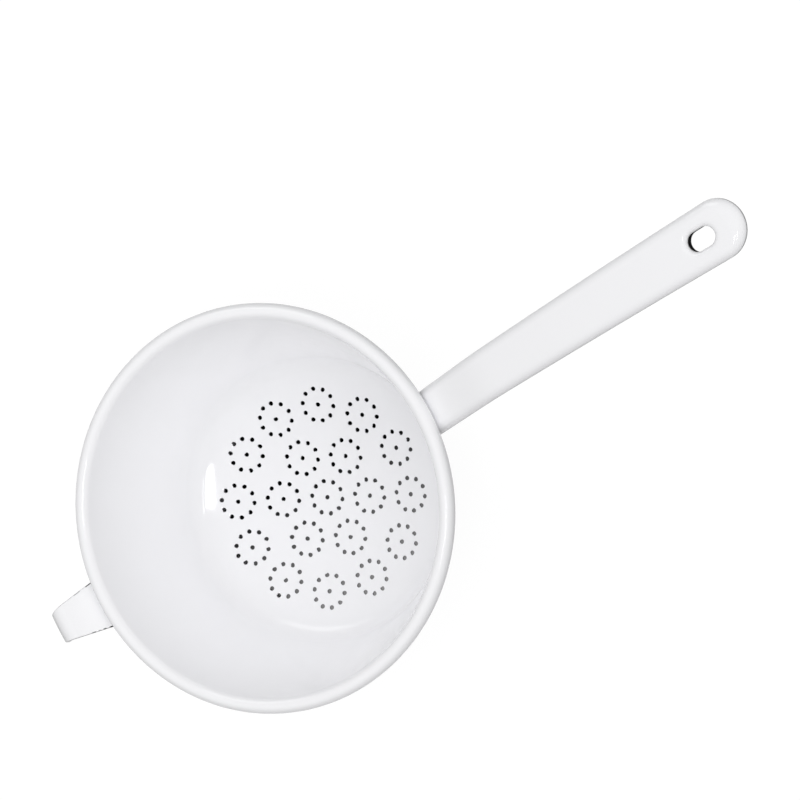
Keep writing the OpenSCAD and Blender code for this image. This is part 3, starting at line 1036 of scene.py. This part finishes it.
def make_floor():
    """A pale floor that shows white but keeps shadows, with a painted shadow and a painted glow under the
    bowl's foot.
    """
    mesh = bpy.data.meshes.new("floor")
    h = floor_half
    mesh.from_pydata([(-h, -h, 0), (h, -h, 0), (h, h, 0), (-h, h, 0)], [], [(0, 1, 2, 3)])
    obj = put("floor", mesh)
    material = bpy.data.materials.new("pale_floor")
    material.use_nodes = True
    tree = material.node_tree
    tree.nodes.clear()
    output = add_node(tree, "ShaderNodeOutputMaterial")
    place = add_node(tree, "ShaderNodeTexCoord")
    length = add_node(tree, "ShaderNodeVectorMath", operation="LENGTH")
    beyond = add_node(
        tree, "ShaderNodeMapRange", {"From Min": foot_r * MM - foot_fade, "From Max": foot_r * MM})
    diffuse = add_node(tree, "ShaderNodeBsdfDiffuse")
    # Painted shadow: the floor's colour is nearly black inside the foot ring
    tone = colour_mix(tree, {"A": (*[under_foot_painted_shadow] * 3, 1), "B": (*[floor_shade] * 3, 1)})
    glow = add_node(tree, "ShaderNodeEmission")
    split = add_node(tree, "ShaderNodeSeparateXYZ")
    # Painted glow inside the foot ring, brighter towards one side
    painted_glow_ramp = add_node(
        tree, "ShaderNodeMapRange",
        {"From Min": painted_glow_dark_y, "From Max": painted_glow_bright_y, "To Max": under_bowl_painted_glow})
    level = add_node(tree, "ShaderNodeMix", {"B": floor_glow})
    power = math_node(tree, "MULTIPLY")
    total = add_node(tree, "ShaderNodeAddShader")
    link = tree.links.new
    link(place.outputs["Object"], length.inputs[0])
    link(length.outputs["Value"], beyond.inputs["Value"])
    link(beyond.outputs["Result"], tone.inputs["Factor"])
    link(tone.outputs["Result"], diffuse.inputs["Color"])
    link(place.outputs["Object"], split.inputs[0])
    link(split.outputs["Y"], painted_glow_ramp.inputs["Value"])
    link(beyond.outputs["Result"], level.inputs["Factor"])
    link(painted_glow_ramp.outputs["Result"], level.inputs["A"])
    link(seen_directly(tree), power.inputs[0])
    link(level.outputs["Result"], power.inputs[1])
    link(power.outputs[0], glow.inputs["Strength"])
    link(diffuse.outputs[0], total.inputs[0])
    link(glow.outputs[0], total.inputs[1])
    link(total.outputs[0], output.inputs["Surface"])
    mesh.materials.append(material)


def make_world():
    """White to look at, and a soft sky for the light on the object, strongest at a slant from above."""
    world = bpy.data.worlds.new("studio")
    bpy.context.scene.world = world
    world.use_nodes = True
    tree = world.node_tree
    tree.nodes.clear()
    output = add_node(tree, "ShaderNodeOutputWorld")
    place = add_node(tree, "ShaderNodeTexCoord")
    split = add_node(tree, "ShaderNodeSeparateXYZ")
    tilt = math_node(tree, "ARCCOSINE")
    turn = math_node(tree, "MULTIPLY", 2 / math.pi)
    ramp = add_node(tree, "ShaderNodeValToRGB")
    while len(ramp.color_ramp.elements) < len(sky_shares):
        ramp.color_ramp.elements.new(1.0)
    for element, (degrees, share) in zip(ramp.color_ramp.elements, sky_shares):
        element.position = degrees / 90
        element.color = (share, share, share, 1)
    peak = math_node(tree, "MULTIPLY", sky_peak)
    side = add_node(tree, "ShaderNodeVectorMath", {1: sky_side}, operation="DOT_PRODUCT")
    lean = math_node(tree, "ADD", 1.0)
    lit = math_node(tree, "MULTIPLY")
    sky = add_node(tree, "ShaderNodeBackground")
    white = add_node(tree, "ShaderNodeBackground", {"Strength": 1.0})
    choose = add_node(tree, "ShaderNodeMixShader")
    link = tree.links.new
    link(place.outputs["Generated"], split.inputs[0])
    link(split.outputs["Z"], tilt.inputs[0])
    link(tilt.outputs[0], turn.inputs[0])
    link(turn.outputs[0], ramp.inputs["Fac"])
    link(ramp.outputs["Color"], peak.inputs[0])
    link(place.outputs["Generated"], side.inputs[0])
    link(side.outputs["Value"], lean.inputs[0])
    link(lean.outputs[0], lit.inputs[0])
    link(peak.outputs[0], lit.inputs[1])
    link(lit.outputs[0], sky.inputs["Strength"])
    link(seen_directly(tree), choose.inputs["Fac"])
    link(sky.outputs[0], choose.inputs[1])
    link(white.outputs[0], choose.inputs[2])
    link(choose.outputs[0], output.inputs["Surface"])


# The camera's view, fitted to the photo: what it looks at, from where, and how it is rolled
view_aim = np.array([89.24, 11.59, 88.3])
view_distance = 2399.4
view_azimuth = 68.52
view_elevation = 68.17
view_roll = 97.65
lens = 225.0
sensor_width = 36.0
view_end = 50
# Soft boxes as seen from the object: degrees to the camera's left and above it, width and height
# in degrees, and strength
lamps = (
    ("main_softbox", 19.8, -11.5, 4.0, 10, 11.0),
    ("strip_light", 8.5, -9, 3.0, 11, 11.0),
    ("far_softbox", 56.7, 55.3, 34, 22, 1.7))
lamp_distance = 1.6


def camera_axes():
    """The camera's right, up and back directions."""
    a, e, roll = (math.radians(v) for v in (view_azimuth, view_elevation, view_roll))
    back = np.array([math.sin(a) * math.cos(e), -math.cos(a) * math.cos(e), math.sin(e)])
    level = np.cross([0, 0, 1], back)
    level /= np.linalg.norm(level)
    upright = np.cross(back, level)
    right = math.cos(roll) * level - math.sin(roll) * upright
    up = math.sin(roll) * level + math.cos(roll) * upright
    return right, up, back


def aim(obj, axes, place):
    """Puts an object at a place in metres, with these right, up and back directions."""
    obj.matrix_world = Matrix.Translation(Vector(place)) @ Matrix(axes).transposed().to_4x4()


def make_camera():
    axes = camera_axes()
    data = bpy.data.cameras.new("camera")
    data.sensor_width = sensor_width
    data.lens = lens
    data.clip_end = view_end
    camera = put("camera", data)
    aim(camera, axes, (view_aim + view_distance * axes[2]) * MM)
    bpy.context.scene.camera = camera


def make_lamp(name, left, above, wide, tall, strength):
    """A soft box that faces the object."""
    right, up, back = camera_axes()
    direction = back - math.tan(math.radians(left)) * right + math.tan(math.radians(above)) * up
    direction /= np.linalg.norm(direction)
    across = np.cross(up, direction)
    across /= np.linalg.norm(across)
    data = bpy.data.lights.new(name, "AREA")
    data.shape = "RECTANGLE"
    data.size = 2 * lamp_distance * math.tan(math.radians(wide) / 2)
    data.size_y = 2 * lamp_distance * math.tan(math.radians(tall) / 2)
    data.energy = strength * math.pi * data.size * data.size_y
    axes = (across, np.cross(direction, across), direction)
    aim(put(name, data), axes, view_aim * MM + lamp_distance * direction)


def main():
    white = enamel("white_enamel", white_colour, ground_and_shade_colour, roughness=0.06, shine=0.5)
    # Near-black for hidden and fully bare faces: painted shade inside the hollow handle, ground coat at bare
    # edges
    dark = enamel("ground_coat_and_hollow_shade", ground_and_hollow_shade_colour, ground_and_hollow_shade_colour, roughness=0.3, shine=0.1)
    materials = [white, dark]
    make_bowl(materials)
    make_foot(materials)
    make_handle(materials)
    make_hook(materials)
    make_floor()
    make_world()
    make_camera()
    for lamp in lamps:
        make_lamp(*lamp)
    bpy.context.scene.view_settings.view_transform = "Standard"


main()
